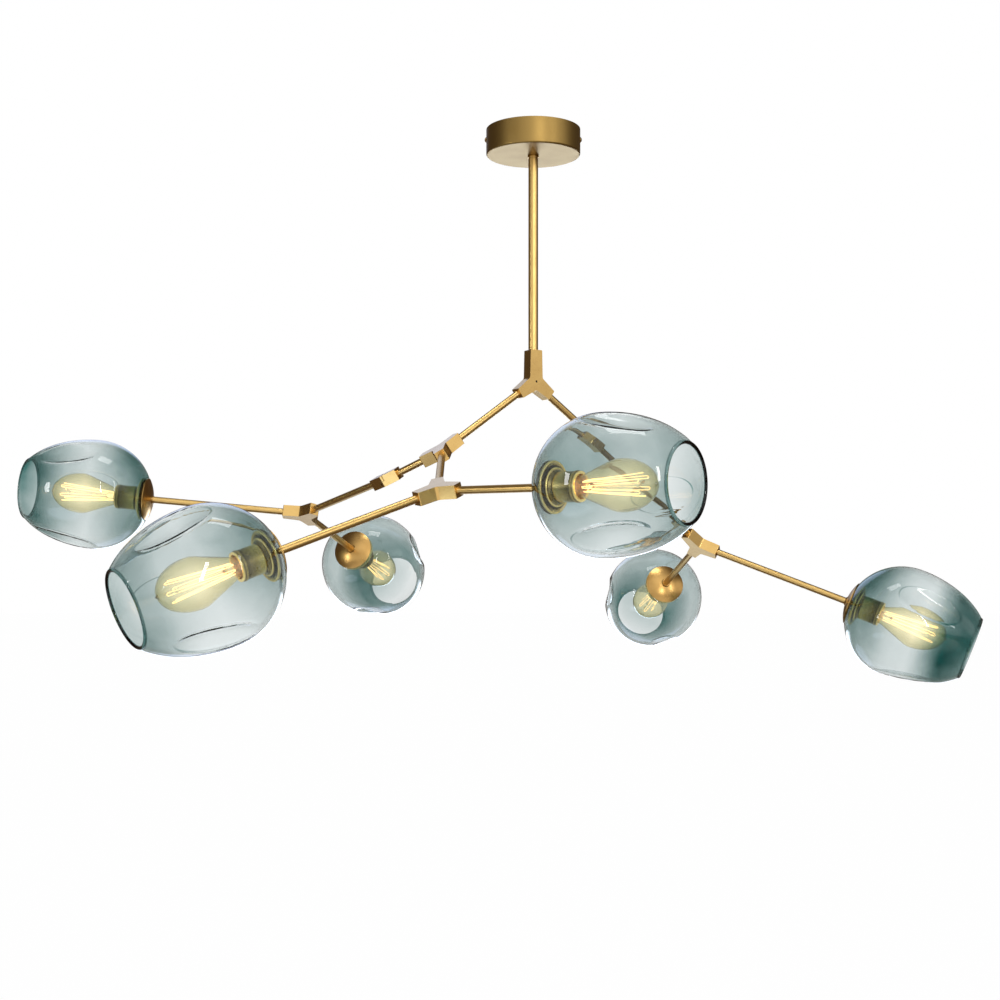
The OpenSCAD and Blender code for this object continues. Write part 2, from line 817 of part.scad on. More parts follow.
// The six lamps.
module cap_far_left() { lamp_far_left() cap(); }
module cap_back_left() { lamp_back_left() cap(); }
module cap_front_left() { lamp_front_left() cap(); }
module cap_front_mid() { lamp_front_mid() cap(); }
module cap_far_right() { lamp_far_right() cap(); }
module cap_back_right() { lamp_back_right() cap(); }
module holder_far_left() { lamp_far_left() holder(); }
module holder_back_left() { lamp_back_left() holder(); }
module holder_front_left() { lamp_front_left() holder(); }
module holder_front_mid() { lamp_front_mid() holder(); }
module holder_far_right() { lamp_far_right() holder(); }
module holder_back_right() { lamp_back_right() holder(); }
module shade_far_left() { lamp_far_left() shade(far_left_dents); }
module shade_back_left() { lamp_back_left() shade(back_left_dents); }
module shade_front_left() { lamp_front_left() shade(front_left_dents); }
module shade_front_mid() { lamp_front_mid() shade(front_mid_dents); }
module shade_far_right() { lamp_far_right() shade(far_right_dents); }
module shade_back_right() { lamp_back_right() shade(back_right_dents); }
module bulb_far_left() { lamp_far_left() bulb(); }
module bulb_back_left() { lamp_back_left() bulb(); }
module bulb_front_left() { lamp_front_left() bulb(); }
module bulb_front_mid() { lamp_front_mid() bulb(); }
module bulb_far_right() { lamp_far_right() bulb(); }
module bulb_back_right() { lamp_back_right() bulb(); }
module bulb_bases_left() {
    lamp_far_left() bulb_base();
    lamp_back_left() bulb_base();
}
module bulb_bases_front() {
    lamp_front_left() bulb_base();
    lamp_front_mid() bulb_base();
}
module bulb_bases_right() {
    lamp_far_right() bulb_base();
    lamp_back_right() bulb_base();
}

canopy();
crossbar();
canopy_screws();
terminal_block();
earth_screw();
stem_nipple();
nipple_nuts();
stem_collar();
stem_tube();
hub_top();
hub_top_screw();
tube_upper_left();
tube_upper_right();
knuckle_right_inner();
knuckle_right_pin();
hub_left();
tube_mid_left();
tube_front_drop();
knuckle_left_inner();
knuckle_left_pin();
knuckle_left_outer();
tube_outer_left();
knuckle_right_outer();
tube_outer_right();
hub_far_left();
hub_front();
hub_right();
arm_far_left();
arm_back_left();
arm_front_left();
arm_front_mid();
arm_far_right();
arm_back_right();
cap_far_left();
cap_back_left();
cap_front_left();
cap_front_mid();
cap_far_right();
cap_back_right();
holder_far_left();
holder_back_left();
holder_front_left();
holder_front_mid();
holder_far_right();
holder_back_right();
shade_far_left();
shade_back_left();
shade_front_left();
shade_front_mid();
shade_far_right();
shade_back_right();
bulb_far_left();
bulb_back_left();
bulb_front_left();
bulb_front_mid();
bulb_far_right();
bulb_back_right();
bulb_bases_left();
bulb_bases_front();
bulb_bases_right();
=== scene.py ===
import json
import math

import bmesh
import bpy
import numpy as np
from mathutils import Matrix, Vector

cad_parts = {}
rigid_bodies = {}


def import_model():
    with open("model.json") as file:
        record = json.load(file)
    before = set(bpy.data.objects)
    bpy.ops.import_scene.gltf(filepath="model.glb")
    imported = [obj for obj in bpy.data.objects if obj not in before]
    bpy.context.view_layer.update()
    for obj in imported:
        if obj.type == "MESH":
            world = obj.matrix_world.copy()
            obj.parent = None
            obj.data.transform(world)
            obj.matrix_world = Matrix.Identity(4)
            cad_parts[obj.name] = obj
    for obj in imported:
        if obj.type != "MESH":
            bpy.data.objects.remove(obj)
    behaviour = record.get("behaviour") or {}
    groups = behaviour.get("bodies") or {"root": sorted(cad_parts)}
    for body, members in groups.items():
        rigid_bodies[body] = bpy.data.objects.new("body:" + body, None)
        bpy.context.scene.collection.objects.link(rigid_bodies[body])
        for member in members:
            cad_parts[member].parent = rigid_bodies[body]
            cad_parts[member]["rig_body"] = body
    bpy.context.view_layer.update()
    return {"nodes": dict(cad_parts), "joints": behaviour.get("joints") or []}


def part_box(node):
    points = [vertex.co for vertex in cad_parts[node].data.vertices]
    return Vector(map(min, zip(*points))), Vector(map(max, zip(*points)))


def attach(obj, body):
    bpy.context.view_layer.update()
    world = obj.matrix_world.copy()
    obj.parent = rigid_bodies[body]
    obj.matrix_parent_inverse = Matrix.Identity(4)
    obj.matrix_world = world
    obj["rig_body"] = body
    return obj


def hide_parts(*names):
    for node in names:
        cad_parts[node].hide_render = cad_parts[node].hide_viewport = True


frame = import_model()
scene = bpy.context.scene
collection = scene.collection

view = {
    "place": (-0.0442, -1.9237, -0.571),  # metres, in the frame of the ceiling point
    "focalPixels": 1446.6,
    "framePixels": 1000,
    "horizonPixel": 559.5,  # the row that is level with the lens
    "sensor": 36.0,
    "clipEnd": 100,
}


def addObject(name, data):
    item = bpy.data.objects.new(name, data)
    collection.objects.link(item)
    return item


def makeCamera():
    data = bpy.data.cameras.new("camera")
    data.sensor_width = view["sensor"]
    data.lens = view["focalPixels"] * view["sensor"] / view["framePixels"]
    data.shift_y = view["horizonPixel"] / view["framePixels"] - 0.5
    data.clip_end = view["clipEnd"]
    camera = addObject("camera", data)
    camera.location = view["place"]
    camera.rotation_euler = (math.pi / 2, 0, 0)
    scene.camera = camera


def feed(tree, node, inputs):
    for key, value in inputs.items():
        socket = node.inputs[key]
        if isinstance(value, bpy.types.NodeSocket):
            tree.links.new(value, socket)
        elif socket.type == "RGBA":
            socket.default_value = (*value, 1)
        else:
            socket.default_value = value


def addNode(tree, kind, inputs=None, **settings):
    node = tree.nodes.new(kind)
    for key, value in settings.items():
        setattr(node, key, value)
    feed(tree, node, inputs or {})
    return node


def mathNode(tree, operation, *values):
    return addNode(tree, "ShaderNodeMath", dict(enumerate(values)), operation=operation).outputs[0]


def mixColors(tree, share, first, second, **settings):
    return addNode(tree, "ShaderNodeMix", {0: share, 6: first, 7: second}, data_type="RGBA",
                   **settings).outputs[2]


def mapped(tree, value, low, high, toLow=0.0, toHigh=1.0, curve="SMOOTHSTEP"):
    return addNode(tree, "ShaderNodeMapRange", {"Value": value, "From Min": low, "From Max": high,
                   "To Min": toLow, "To Max": toHigh}, interpolation_type=curve).outputs[0]


def noise(tree, scale, detail=2.0, roughness=0.5):
    place = addNode(tree, "ShaderNodeTexCoord")
    return addNode(tree, "ShaderNodeTexNoise", {"Vector": place.outputs["Object"], "Scale": scale,
                   "Detail": detail, "Roughness": roughness}).outputs["Fac"]


studio = {
    "white": (1.0, 1.0, 1.0),
    "mirrored": (0.085, 0.062, 0.045),  # what metal mirrors where the room has no soft patch
    "ambient": (0.62, 0.63, 0.65),
    "aim": (0.0, 0.0, -0.45),  # point that every softbox faces
    "floorDrop": 1.75,
    "floorHalf": 30.0,
    "floorColor": (0.9, 0.9, 0.89),
    "floorWhite": 0.985,  # share of plain white in what the camera sees of the floor
    "floorMirrored": (0.12, 0.085, 0.06),  # the floor in metal, away from its bright places
}
softPatches = {  # direction, cosine at its edge, cosine where it is full, light
    "front": ((0.05, -1.0, 0.12), 0.45, 0.85, (0.85, 0.85, 0.85)),
    "right": ((0.9, -0.3, 0.3), 0.95, 0.996, (0.9, 0.9, 0.9)),
    "rightWide": ((0.9, -0.45, 0.1), 0.75, 0.97, (0.2, 0.2, 0.2)),
    "above": ((0.0, -0.5, 0.86), 0.72, 0.95, (0.4, 0.4, 0.4)),
    "highBack": ((-0.17, 0.88, 0.43), 0.95, 0.985, (0.72, 0.88, 1.3)),  # a cold window
}
floorPatches = {  # place on the floor, radius of its edge, radius where it is full, light
    "left": ((-1.9, -1.1), 0.85, 0.5, (1.6, 1.85, 2.3)),
    "back": ((-0.45, 1.6), 0.85, 0.5, (0.74, 0.9, 1.25)),
    "far": ((0.0, 6.5), 3.6, 1.8, (4.0, 4.6, 5.4)),
    "front": ((0.0, -5.0), 4.3, 3.2, (0.85, 0.85, 0.85)),
}
softboxes = {  # place, width, height, watts, colour
    "key": ((0.8, -3.0, 0.3), 0.16, 1.3, 15, (1.0, 0.97, 0.93)),
    "leftWindow": ((-2.6, -1.5, -0.1), 0.22, 0.8, 9, (1.0, 1.0, 1.0)),
    "rightStrip": ((2.2, -2.0, 0.5), 0.15, 1.2, 6, (1.0, 0.98, 0.95)),
    "above": ((0.0, -0.2, 1.5), 0.8, 0.5, 8, (1.0, 1.0, 1.0)),
}


def seenDirectly(tree, path):
    return mathNode(tree, "MAXIMUM", path.outputs["Is Camera Ray"],
                    path.outputs["Is Transmission Ray"])


def addPatches(tree, base, patches, place, operation, aim):
    for spot, edge, full, light in patches.values():
        near = addNode(tree, "ShaderNodeVectorMath", {0: place, 1: aim(spot)}, operation=operation)
        share = mapped(tree, near.outputs["Value"], edge, full)
        base = mixColors(tree, share, base, light, blend_type="ADD")
    return base


def makeWorld():
    world = bpy.data.worlds.new("studio")
    world.use_nodes = True
    scene.world = world
    tree = world.node_tree
    tree.nodes.clear()
    path = addNode(tree, "ShaderNodeLightPath")
    place = addNode(tree, "ShaderNodeTexCoord").outputs["Generated"]
    mirrored = addPatches(tree, studio["mirrored"], softPatches, place, "DOT_PRODUCT",
                          lambda direction: Vector(direction).normalized())
    room = mixColors(tree, path.outputs["Is Glossy Ray"], studio["ambient"], mirrored)
    color = mixColors(tree, seenDirectly(tree, path), room, studio["white"])
    background = addNode(tree, "ShaderNodeBackground", {"Color": color, "Strength": 1.0})
    addNode(tree, "ShaderNodeOutputWorld", {"Surface": background.outputs[0]})


def makeLights():
    for name, (place, width, height, watts, color) in softboxes.items():
        data = bpy.data.lights.new(name, "AREA")
        data.shape = "RECTANGLE"
        data.size, data.size_y = width, height
        data.energy = watts
        data.color = color
        lamp = addObject(name, data)
        lamp.location = place
        sight = Vector(studio["aim"]) - Vector(place)
        lamp.rotation_euler = sight.to_track_quat("-Z", "Y").to_euler()
        lamp.visible_camera = False
        lamp.visible_transmission = False


def makeFloor():
    half, z = studio["floorHalf"], -studio["floorDrop"]
    mesh = bpy.data.meshes.new("floor")
    mesh.from_pydata([(-half, -half, z), (half, -half, z), (half, half, z), (-half, half, z)], [],
                     [(0, 1, 2, 3)])
    floor = addObject("floor", mesh)
    material = bpy.data.materials.new("paleFloor")
    material.use_nodes = True
    tree = material.node_tree
    tree.nodes.clear()
    path = addNode(tree, "ShaderNodeLightPath")
    share = mathNode(tree, "MULTIPLY", seenDirectly(tree, path), studio["floorWhite"])
    paint = addNode(tree, "ShaderNodeBsdfDiffuse", {"Color": studio["floorColor"]})
    white = addNode(tree, "ShaderNodeEmission", {"Color": studio["white"], "Strength": 1.0})
    place = addNode(tree, "ShaderNodeTexCoord").outputs["Object"]
    bright = addPatches(tree, studio["floorMirrored"], floorPatches, place, "DISTANCE",
                        lambda spot: (*spot, z))
    mirrored = addNode(tree, "ShaderNodeEmission", {"Color": bright, "Strength": 1.0})
    matt = addNode(tree, "ShaderNodeMixShader", {0: path.outputs["Is Glossy Ray"],
                   1: paint.outputs[0], 2: mirrored.outputs[0]})
    both = addNode(tree, "ShaderNodeMixShader", {0: share, 1: matt.outputs[0],
                   2: white.outputs[0]})
    addNode(tree, "ShaderNodeOutputMaterial", {"Surface": both.outputs[0]})
    mesh.materials.append(material)


makeCamera()
makeWorld()
makeLights()
makeFloor()
scene.view_settings.view_transform = "Standard"
scene.cycles.max_bounces = 26
scene.cycles.transmission_bounces = 24
scene.cycles.glossy_bounces = 4
scene.cycles.transparent_max_bounces = 16
scene.cycles.use_denoising = True
print("studio: camera,", len(softboxes), "softboxes, floor")


def newGroup(name, inputs, outputs):
    group = bpy.data.node_groups.new(name, "ShaderNodeTree")
    kinds = {"color": "NodeSocketColor", "value": "NodeSocketFloat"}
    for label, kind in inputs:
        group.interface.new_socket(label, in_out="INPUT", socket_type=kinds[kind])
    for label, kind in outputs:
        group.interface.new_socket(label, in_out="OUTPUT", socket_type=kinds[kind])
    return group, group.nodes.new("NodeGroupInput"), group.nodes.new("NodeGroupOutput")


patinaLook = {"detail": 5.0, "roughness": 0.6, "low": 0.42, "high": 0.72, "grainScale": 2600.0,
              "grainDetail": 3.0, "grainRoughness": 0.08}


def makePatinaAndShadeGroup():
    # cloudy wear over the metal, and painted shade in the grooves, where the mesh has its own
    # groove-shade share
    group, given, result = newGroup("patina",
        [("Metal", "color"), ("Patina", "color"), ("ShadeColor", "color"), ("Amount", "value"),
         ("Scale", "value"), ("Polish", "value"), ("Haze", "value")],
        [("Color", "color"), ("Roughness", "value"), ("Height", "value")])
    look = patinaLook
    clouds = noise(group, given.outputs["Scale"], look["detail"], look["roughness"])
    spread = mapped(group, clouds, look["low"], look["high"])
    share = mathNode(group, "MULTIPLY", spread, given.outputs["Amount"])
    worn = mixColors(group, share, given.outputs["Metal"], given.outputs["Patina"])
    paintedShade = addNode(group, "ShaderNodeAttribute", attribute_name="grooveShade").outputs["Fac"]
    color = mixColors(group, paintedShade, worn, given.outputs["ShadeColor"])
    grain = noise(group, look["grainScale"], look["grainDetail"])
    haze = mathNode(group, "MULTIPLY_ADD", clouds, given.outputs["Haze"], given.outputs["Polish"])
    rough = mathNode(group, "MULTIPLY_ADD", grain, look["grainRoughness"], haze)
    feed(group, result, {"Color": color, "Roughness": rough, "Height": grain})
    return group


patinaAndShadeGroup = makePatinaAndShadeGroup()
blownLook = {"swellScale": 22.0, "swellDetail": 1.5, "cloudDetail": 3.0, "low": 0.3, "high": 0.7}


def makeBlownGroup():
    # slow waves in the surface of blown glass, and its colour laid on unevenly
    group, given, result = newGroup("blownGlass",
        [("Tint", "color"), ("Dark", "color"), ("Share", "value"), ("Uneven", "value"),
         ("Scale", "value")], [("Color", "color"), ("Height", "value")])
    look = blownLook
    swell = noise(group, look["swellScale"], look["swellDetail"])
    cloud = noise(group, given.outputs["Scale"], look["cloudDetail"])
    spread = mapped(group, cloud, look["low"], look["high"], -1.0, 1.0, "LINEAR")
    uneven = mathNode(group, "MULTIPLY_ADD", spread, given.outputs["Uneven"], 1.0)
    share = mathNode(group, "MULTIPLY", uneven, given.outputs["Share"])
    color = mixColors(group, share, given.outputs["Tint"], given.outputs["Dark"],
                      clamp_factor=False)
    feed(group, result, {"Color": color, "Height": swell})
    return group


blownGroup = makeBlownGroup()


def newMaterial(name):
    material = bpy.data.materials.new(name)
    material.use_nodes = True
    tree = material.node_tree
    return material, tree, tree.nodes["Principled BSDF"]


metalFinishes = {  # metal, patina, patina's share, its scale, polish, haze, coat, bump
    "satinBrass": ((0.74, 0.49, 0.17), (0.60, 0.37, 0.12), 0.35, 45, 0.17, 0.08, 0.12, 0.008),
    "tubeBrass": ((0.80, 0.55, 0.20), (0.64, 0.40, 0.13), 0.3, 40, 0.3, 0.04, 0.0, 0.004),
    "capBrass": ((0.60, 0.37, 0.12), (0.44, 0.245, 0.068), 0.5, 45, 0.2, 0.1, 0.15, 0.012),
    "darkBrass": ((0.95, 0.73, 0.29), (0.58, 0.40, 0.13), 0.5, 70, 0.16, 0.1, 0.15, 0.03),
    "canopyBrass": ((0.38, 0.25, 0.078), (0.31, 0.19, 0.052), 0.4, 30, 0.36, 0.08, 0.0, 0.02),
    "blackSteel": ((0.05, 0.045, 0.04), (0.02, 0.018, 0.016), 0.5, 200, 0.3, 0.2, 0.0, 0.05),
    "zincSteel": ((0.62, 0.62, 0.6), (0.42, 0.42, 0.4), 0.5, 90, 0.28, 0.2, 0.0, 0.08),
    "copperShell": ((0.88, 0.48, 0.15), (0.5, 0.2, 0.05), 0.5, 120, 0.14, 0.1, 0.0, 0.06),
}
# the near-black colour is painted shade, laid deep in the grooves of turned parts
metalSurface = {"paintedShade": (0.03, 0.018, 0.008), "relief": 0.0002, "coatRoughness": 0.12}


def makeMetal(name):
    metal, patina, amount, scale, polish, haze, coat, bump = metalFinishes[name]
    material, tree, shader = newMaterial(name)
    aged = addNode(tree, "ShaderNodeGroup", {"Metal": metal, "Patina": patina,
                   "ShadeColor": metalSurface["paintedShade"], "Amount": amount, "Scale": scale,
                   "Polish": polish, "Haze": haze}, node_tree=patinaAndShadeGroup)
    relief = addNode(tree, "ShaderNodeBump", {"Height": aged.outputs["Height"], "Strength": bump,
                     "Distance": metalSurface["relief"]})
    feed(tree, shader, {"Base Color": aged.outputs["Color"], "Metallic": 1.0,
                        "Roughness": aged.outputs["Roughness"], "Normal": relief.outputs[0],
                        "Coat Weight": coat, "Coat Roughness": metalSurface["coatRoughness"]})
    return material


glassFinishes = {
    "smokeGlass": {"tint": (0.98, 0.995, 0.995), "dark": (0.37, 0.47, 0.46),
                   "passed": (0.05, 0.25, 0.25), "density": 26.0, "index": 1.5, "waves": 0.12,
                   "uneven": 0.32, "scale": 11.0, "gloss": 0.65},
    "amberGlass": {"tint": (1.0, 0.985, 0.93), "dark": (0.97, 0.92, 0.78),
                   "passed": (0.80, 0.71, 0.34), "density": 420.0, "index": 1.48, "waves": 0.03,
                   "uneven": 0.5, "scale": 9.0, "gloss": 0.7},
    "clearGlass": {"tint": (1.0, 1.0, 1.0), "dark": (0.97, 0.97, 0.95),
                   "passed": (0.9, 0.9, 0.85), "density": 20.0, "index": 1.48, "waves": 0.01,
                   "uneven": 0.5, "scale": 9.0, "gloss": 1.0},
}
glassSurface = {"share": 0.5, "relief": 0.002, "shadow": 0.45, "shadowTint": 0.5}
bulbGlow = {"color": (1.0, 0.88, 0.66), "strength": 0.18, "falloff": 4.5}
# painted shade: the bulb glass is coloured darker where it is seen edge on
bulbEdgeShade = {"color": (0.62, 0.62, 0.40), "blend": 0.5, "falloff": 8.0}  # bulb glass seen edge on
# painted shade: a dark line drawn where a dent begins
creaseShade = {"reach": 0.004, "width": 0.22, "depth": 0.9, "broken": 17.0, "detail": 1.0,
              "low": 0.46, "high": 0.66}  # where a dent begins


def smokeShare(tree):
    # how deep the smoke is, plus a broken line of painted shade where a dent begins
    c = creaseShade
    smoke = addNode(tree, "ShaderNodeAttribute", attribute_name="smoke").outputs["Fac"]
    crease = addNode(tree, "ShaderNodeAttribute", attribute_name="crease").outputs["Fac"]
    line = mapped(tree, mathNode(tree, "ABSOLUTE", crease), c["width"], 0.0, 0.0, c["depth"])
    kept = mapped(tree, noise(tree, c["broken"], c["detail"]), c["low"], c["high"])
    return mathNode(tree, "MULTIPLY_ADD", line, kept, smoke)


def lightBulb(tree, shader, color):
    facing = addNode(tree, "ShaderNodeLayerWeight", {"Blend": bulbEdgeShade["blend"]}).outputs["Facing"]
    lit = mathNode(tree, "POWER", mathNode(tree, "SUBTRACT", 1.0, facing), bulbGlow["falloff"])
    # painted shade towards the bulb's edges
    rim = mathNode(tree, "POWER", facing, bulbEdgeShade["falloff"])
    feed(tree, shader, {"Base Color": mixColors(tree, rim, color, bulbEdgeShade["color"]),
                        "Emission Color": mixColors(tree, lit, (0, 0, 0), bulbGlow["color"]),
                        "Emission Strength": bulbGlow["strength"]})


def makeGlass(name):
    finish = glassFinishes[name]
    material, tree, shader = newMaterial(name)
    share = smokeShare(tree) if name == "smokeGlass" else glassSurface["share"]
    blown = addNode(tree, "ShaderNodeGroup", {"Tint": finish["tint"], "Dark": finish["dark"],
                    "Share": share, "Uneven": finish["uneven"], "Scale": finish["scale"]},
                    node_tree=blownGroup)
    relief = addNode(tree, "ShaderNodeBump", {"Height": blown.outputs["Height"],
                     "Strength": finish["waves"], "Distance": glassSurface["relief"]})
    feed(tree, shader, {"Base Color": blown.outputs["Color"], "Normal": relief.outputs[0],
                        "Transmission Weight": 1.0, "Roughness": 0.0, "IOR": finish["index"],
                        "Specular Tint": (finish["gloss"],) * 3})
    if name == "amberGlass":
        lightBulb(tree, shader, blown.outputs["Color"])
    absorb = addNode(tree, "ShaderNodeVolumeAbsorption", {"Color": finish["passed"],
                     "Density": finish["density"]})
    path = addNode(tree, "ShaderNodeLightPath")
    shadow = [glassSurface["shadow"] + glassSurface["shadowTint"] * c for c in finish["tint"]]
    clear = addNode(tree, "ShaderNodeBsdfTransparent", {"Color": shadow})
    both = addNode(tree, "ShaderNodeMixShader", {0: path.outputs["Is Shadow Ray"],
                   1: shader.outputs[0], 2: clear.outputs[0]})
    feed(tree, tree.nodes["Material Output"], {"Volume": absorb.outputs[0],
                                               "Surface": both.outputs[0]})
    return material


glow = {"color": (1.0, 0.62, 0.30), "strength": 3.8, "scale": 900.0, "uneven": 0.5}


def makeGlow():
    material, tree, shader = newMaterial("hotFilament")
    cooler = [c * glow["uneven"] for c in glow["color"]]
    color = mixColors(tree, noise(tree, glow["scale"]), glow["color"], cooler)
    feed(tree, shader, {"Base Color": glow["color"], "Emission Color": color,
                        "Emission Strength": glow["strength"]})
    return material


plastic = {"light": (0.82, 0.82, 0.78), "dark": (0.7, 0.7, 0.66), "scale": 300.0, "detail": 4.0,
           "bump": 0.1, "relief": 0.0003, "roughness": 0.5}


def makePlastic():
    material, tree, shader = newMaterial("blockPlastic")
    speck = noise(tree, plastic["scale"], plastic["detail"])
    relief = addNode(tree, "ShaderNodeBump", {"Height": speck, "Strength": plastic["bump"],
                     "Distance": plastic["relief"]})
    feed(tree, shader, {"Base Color": mixColors(tree, speck, plastic["light"], plastic["dark"]),
                        "Normal": relief.outputs[0], "Roughness": plastic["roughness"]})
    return material


materials = {name: makeMetal(name) for name in metalFinishes}
materials.update({name: makeGlass(name) for name in glassFinishes})
materials["hotFilament"] = makeGlow()
materials["blockPlastic"] = makePlastic()
print("materials:", len(materials))


def finishPiece(piece, material, body, replaced=(), smoothAngle=40):
    mesh = piece.data
    mesh.materials.clear()
    mesh.materials.append(materials[material])
    if smoothAngle is not None:
        shadeByAngle(mesh, smoothAngle)
    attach(piece, body)
    if replaced:
        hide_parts(*replaced)
    return piece


def makePiece(name, verts, faces, material, body, replaced=(), smoothAngle=40):
    mesh = bpy.data.meshes.new(name)
    mesh.from_pydata([tuple(v) for v in verts], [], faces)
    mesh.update()
    return finishPiece(addObject(name, mesh), material, body, replaced, smoothAngle)


def shadeByAngle(mesh, degrees):
    mesh.polygons.foreach_set("use_smooth", [True] * len(mesh.polygons))
    edit = bmesh.new()
    edit.from_mesh(mesh)
    limit = math.radians(degrees)
    for edge in edit.edges:
        edge.smooth = len(edge.link_faces) == 2 and edge.calc_face_angle(0) < limit
    edit.to_mesh(mesh)
    edit.free()


tiny = 1e-6  # metres; points closer than this are one
rounding = {"straight": 0.02, "sideShare": 0.49}  # in radians; share of a side an arc may take


def latheGrid(outline, steps):
    # outline is (radius, height) pairs from one end to the other; a radius of 0 is a pole
    angles = np.arange(steps) * 2 * math.pi / steps
    verts, rings = [], []
    for radius, height in outline:
        if radius < tiny:
            rings.append([len(verts)] * steps)
            verts.append((0, 0, height))
        else:
            rings.append(list(range(len(verts), len(verts) + steps)))
            verts.extend((radius * math.cos(a), radius * math.sin(a), height) for a in angles)
    return verts, rings


def joinRings(rings, steps, closed):
    faces = []
    pairs = list(zip(rings, rings[1:])) + ([(rings[-1], rings[0])] if closed else [])
    for low, high in pairs:
        for i in range(steps):
            j = (i + 1) % steps
            face = [low[i], low[j], high[j], high[i]]
            face = [v for k, v in enumerate(face) if v != face[k - 1]]
            if len(face) > 2:
                faces.append(face)
    return faces


def faceOutwards(verts, faces):
    points = np.array(verts)
    volume = 0.0
    for face in faces:
        a = points[face[0]]
        for i in range(1, len(face) - 1):
            volume += a.dot(np.cross(points[face[i]], points[face[i + 1]]))
    return faces if volume > 0 else [list(reversed(face)) for face in faces]


def roundOutline(corners, steps):
    # corners are (radius, height, rounding); the first and the last stay sharp
    result = [tuple(corners[0][:2])]
    for before, corner, after in zip(corners, corners[1:], corners[2:]):
        here, radius = Vector(corner[:2]), corner[2]
        back, ahead = Vector(before[:2]) - here, Vector(after[:2]) - here
        half = back.angle(ahead, math.pi) / 2
        if radius <= 0 or abs(half - math.pi / 2) < rounding["straight"]:
            result.append(tuple(here))
            continue
        most = rounding["sideShare"] * min(back.length, ahead.length)
        reach = min(radius / math.tan(half), most)
        radius = reach * math.tan(half)
        back, ahead = back.normalized(), ahead.normalized()
        middle = here + (back + ahead).normalized() * radius / math.sin(half)
        start, end = here + back * reach - middle, here + ahead * reach - middle
        sweep = start.angle_signed(end)
        for k in range(steps + 1):
            result.append(tuple(middle + Matrix.Rotation(-sweep * k / steps, 2) @ start))
    result.append(tuple(corners[-1][:2]))
    return result


def cornersOf(shape, key):
    # its rows are (radius by name, more radius, height by name, more height, rounding)
    return [(shape[radius] + outwards, shape[height] + up, rounded)
            for radius, outwards, height, up, rounded in shape[key]]


def grooveShadeAlong(outline, reach):
    # share of painted shade: 1 deep in a groove of a turned outline and 0 on its open parts
    points = [Vector(p) for p in outline]
    turns = []
    for i, here in enumerate(points):
        back = next((p for p in reversed(points[:i]) if (p - here).length > tiny), None)
        ahead = next((p for p in points[i + 1:] if (p - here).length > tiny), None)
        if back is None or ahead is None:
            turns.append(0.0)
        else:
            turns.append((here - back).angle_signed(ahead - here, 0.0))
    return [min(1.0, sum(max(0.0, turn) * max(0.0, 1 - (here - p).length / reach)
                         for p, turn in zip(points, turns))) for here in points]


def lathe(name, outline, lamp, material, replaced=(), steps=72, closed=False,
          smoothAngle=40, grooveShade=0.0):
    verts, rings = latheGrid(outline, steps)
    faces = faceOutwards(verts, joinRings(rings, steps, closed))
    verts = [lamp["place"] @ Vector(v) for v in verts]
    piece = makePiece(name, verts, faces, material, lamp["body"], replaced, smoothAngle)
    # painted shade laid into the grooves, as a point attribute
    if grooveShade:
        layer = piece.data.attributes.new("grooveShade", "FLOAT", "POINT")
        for ring, share in zip(rings, grooveShadeAlong(outline, grooveShade)):
            for i in set(ring):
                layer.data[i].value = share


def newGeometryTree(name, inputs):
    tree = bpy.data.node_groups.new(name, "GeometryNodeTree")
    tree.interface.new_socket("Geometry", in_out="INPUT", socket_type="NodeSocketGeometry")
    for label, kind in inputs.items():
        tree.interface.new_socket(label, in_out="INPUT", socket_type="NodeSocket" + kind)
    tree.interface.new_socket("Geometry", in_out="OUTPUT", socket_type="NodeSocketGeometry")
    return tree, tree.nodes.new("NodeGroupInput"), tree.nodes.new("NodeGroupOutput")


def sweep(tree, path, sides, radius, capped=False):
    section = addNode(tree, "GeometryNodeCurvePrimitiveCircle", {"Resolution": sides,
                      "Radius": radius})
    return addNode(tree, "GeometryNodeCurveToMesh", {"Curve": path, "Fill Caps": capped,
                   "Profile Curve": section.outputs["Curve"]}).outputs[0]


def closeTree(tree, given, result, shape):
    real = addNode(tree, "GeometryNodeRealizeInstances", {"Geometry": shape})
    painted = addNode(tree, "GeometryNodeSetMaterial", {"Geometry": real.outputs[0],
                      "Material": given["Material"]})
    feed(tree, result, {"Geometry": painted.outputs[0]})
    return tree


def runTree(tree, values, name):
    host = addObject(name, bpy.data.meshes.new(name))
    modifier = host.modifiers.new(name, "NODES")
    modifier.node_group = tree
    for socket in tree.interface.items_tree:
        if socket.in_out == "INPUT" and socket.name in values:
            modifier[socket.identifier] = values[socket.name]
    shown = host.evaluated_get(bpy.context.evaluated_depsgraph_get())
    mesh = bpy.data.meshes.new_from_object(shown)
    bpy.data.objects.remove(host)
    return mesh


hubSeat = 0.014  # from a hub's middle to the end of a tube seated in it
tubeInHolder = 0.005
